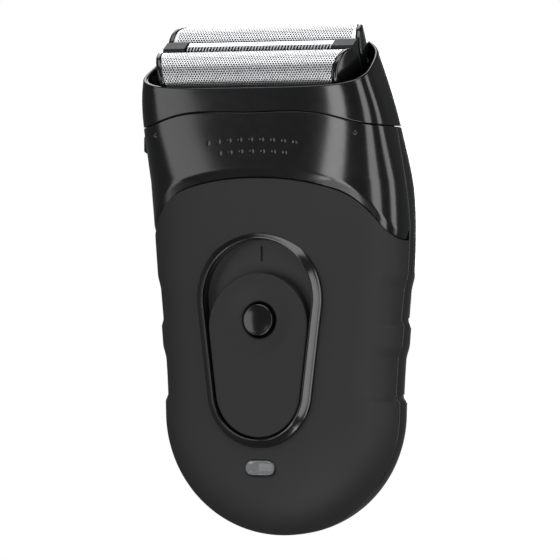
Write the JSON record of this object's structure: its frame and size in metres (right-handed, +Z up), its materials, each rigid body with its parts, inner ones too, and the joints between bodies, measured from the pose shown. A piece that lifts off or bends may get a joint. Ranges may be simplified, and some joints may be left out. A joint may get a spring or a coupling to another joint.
{
  "type": "foil shaver",
  "caption": "Handheld foil shaver: rounded body with matte grip, thumb slide switch, arched perforated foils and a toothed trimmer in a lift-off head.",
  "frame": {"origin": "mouth of the charging inlet, at the lowest point in the middle of the rounded foot", "axes": "+Z up along the body towards the foils, -Y the switch side, +X to the right seen from the switch side"},
  "size_m": [0.0618, 0.0367, 0.1148],
  "materials": {
    "gloss_black": "glossy moulded",
    "soft_black": "matte soft-touch",
    "dark_plastic": "satin moulded",
    "inner_plastic": "moulded, unseen",
    "white_plastic": "moulded acetal",
    "rubber_black": "soft seal",
    "board_green": "solder mask",
    "component_black": "moulded component",
    "component_white": "light package",
    "clear_lens": "clear light pipe",
    "cell_sleeve": "shrink sleeve on a steel can",
    "nickel_strip": "nickel strip",
    "motor_can": "plated steel can",
    "screw_steel": "steel",
    "spring_steel": "drawn wire",
    "blade_steel": "ground stainless steel",
    "foil_steel": "electroformed, finely perforated"
  },
  "bodies": {
    "housing": {"grip_panel": "soft_black", "upper_cover": "gloss_black", "rear_cover": "gloss_black", "switch_collar": "gloss_black", "switch_well": "soft_black", "chassis": "inner_plastic", "head_plate": "gloss_black", "drive_seal": "rubber_black", "circuit_board": "board_green", "board_components": "component_black", "light_lens": "clear_lens", "charge_light": "component_white", "charge_socket": "component_black", "battery_cell": "cell_sleeve", "battery_cradle": "inner_plastic", "battery_contacts": "nickel_strip", "motor": "motor_can", "drive_frame": "inner_plastic", "frame_screws": "screw_steel", "guide_rods": "screw_steel", "housing_screws": "screw_steel"},
    "rotor": {"motor_shaft": "screw_steel", "eccentric": "white_plastic"},
    "oscillator": {"oscillator": "white_plastic", "drive_pins": "screw_steel"},
    "front_cutter": {"front_cutter_carrier": "inner_plastic", "front_cutter_blades": "blade_steel", "front_cutter_spring": "spring_steel"},
    "rear_cutter": {"rear_cutter_carrier": "inner_plastic", "rear_cutter_blades": "blade_steel", "rear_cutter_spring": "spring_steel"},
    "head": {"head_frame": "gloss_black", "foil_holder": "gloss_black", "trimmer_comb": "blade_steel", "trimmer_blocks": "dark_plastic", "front_foil_springs": "spring_steel", "rear_foil_springs": "spring_steel"},
    "front_foil": {"front_foil": "foil_steel", "front_foil_cradle": "gloss_black"},
    "rear_foil": {"rear_foil": "foil_steel", "rear_foil_cradle": "gloss_black"},
    "trimmer": {"trimmer_blade": "blade_steel"},
    "slider": {"switch_slider": "soft_black", "switch_wipers": "nickel_strip", "lock_button_spring": "spring_steel"},
    "button": {"lock_button": "gloss_black"},
    "release": {"release_button": "gloss_black", "release_spring": "spring_steel"}
  },
  "joints": [
    {"name": "motor_spin", "type": "hinge", "parent": "housing", "child": "rotor", "pos_m": [0, -0.0019, 0.075], "axis": [0, 0, 1], "continuous": true},
    {"name": "oscillate", "type": "slide", "parent": "housing", "child": "oscillator", "axis": [1, 0, 0], "range_m": [-0.001, 0.001]},
    {"name": "front_cutter_float", "type": "slide", "parent": "oscillator", "child": "front_cutter", "axis": [0, 0.5461, -0.8377], "range_m": [0, 0.0012], "deforming": ["front_cutter_spring"]},
    {"name": "rear_cutter_float", "type": "slide", "parent": "oscillator", "child": "rear_cutter", "axis": [0, 0.5461, -0.8377], "range_m": [0, 0.0012], "deforming": ["rear_cutter_spring"]},
    {"name": "head_lift", "type": "slide", "parent": "housing", "child": "head", "axis": [0, -0.5461, 0.8377], "range_m": [0, 0.0028]},
    {"name": "front_foil_float", "type": "slide", "parent": "head", "child": "front_foil", "axis": [0, 0.5461, -0.8377], "range_m": [0, 0.0012], "stiffness_N_per_m": 300, "springref_m": -0.0008, "deforming": ["front_foil_springs"]},
    {"name": "rear_foil_float", "type": "slide", "parent": "head", "child": "rear_foil", "axis": [0, 0.5461, -0.8377], "range_m": [0, 0.0012], "stiffness_N_per_m": 300, "springref_m": -0.0008, "deforming": ["rear_foil_springs"]},
    {"name": "trimmer_slide", "type": "slide", "parent": "head", "child": "trimmer", "axis": [1, 0, 0], "range_m": [-0.001, 0.001]},
    {"name": "switch_slide", "type": "slide", "parent": "housing", "child": "slider", "axis": [0, 0, 1], "range_m": [0, 0.005]},
    {"name": "lock_press", "type": "slide", "parent": "slider", "child": "button", "axis": [0, 1, 0], "range_m": [0, 0.001], "stiffness_N_per_m": 200, "springref_m": -0.0005, "deforming": ["lock_button_spring"]},
    {"name": "release_press", "type": "slide", "parent": "housing", "child": "release", "axis": [1, 0, 0], "range_m": [0, 0.0012], "stiffness_N_per_m": 250, "springref_m": -0.0005, "deforming": ["release_spring"]}
  ],
  "couplings": [
    {"joint": "front_cutter_float", "follows": "front_foil_float", "ratio": 1},
    {"joint": "rear_cutter_float", "follows": "rear_foil_float", "ratio": 1},
    {"joint": "trimmer_slide", "follows": "oscillate", "ratio": 1}
  ]
}
